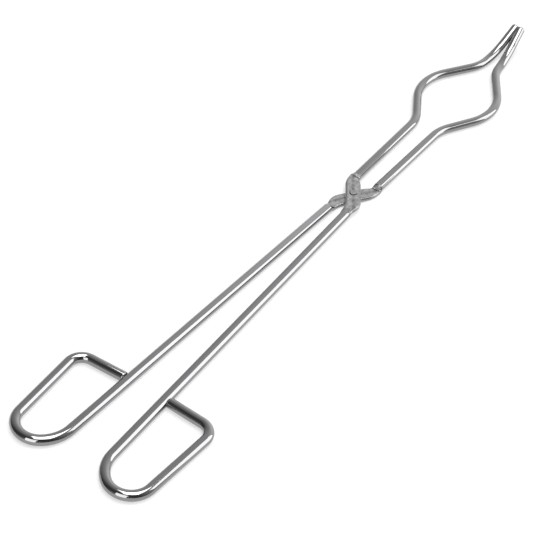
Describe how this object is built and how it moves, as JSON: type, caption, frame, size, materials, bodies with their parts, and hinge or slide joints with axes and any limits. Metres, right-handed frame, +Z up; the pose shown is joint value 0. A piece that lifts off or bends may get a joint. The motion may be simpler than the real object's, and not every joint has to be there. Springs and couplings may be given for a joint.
{
  "type": "crucible tongs",
  "caption": "Long scissor tongs bent from round steel rod, with closed finger loops, a riveted pivot, a bow that holds a crucible and upturned flat-faced tips.",
  "frame": {"origin": "on the pivot axis, at the level of the surface that the tongs lie on", "axes": "+X from the pivot to the upturned tips, +Y to the side of the upper arm's jaw, +Z up, along the pivot axis"},
  "size_m": [0.5118, 0.0954, 0.0189],
  "materials": {
    "polished_rod": "polished stainless steel, matt grey where pressed flat",
    "rivet_steel": "dull peened steel"
  },
  "bodies": {
    "lower_arm": {"lower_arm": "polished_rod", "pivot_rivet": "rivet_steel"},
    "upper_arm": {"upper_arm": "polished_rod"}
  },
  "joints": [
    {"name": "pivot", "type": "hinge", "parent": "lower_arm", "child": "upper_arm", "pos_m": [0, 0, 0.003], "axis": [0, 0, 1], "range_deg": [0, 105]}
  ]
}
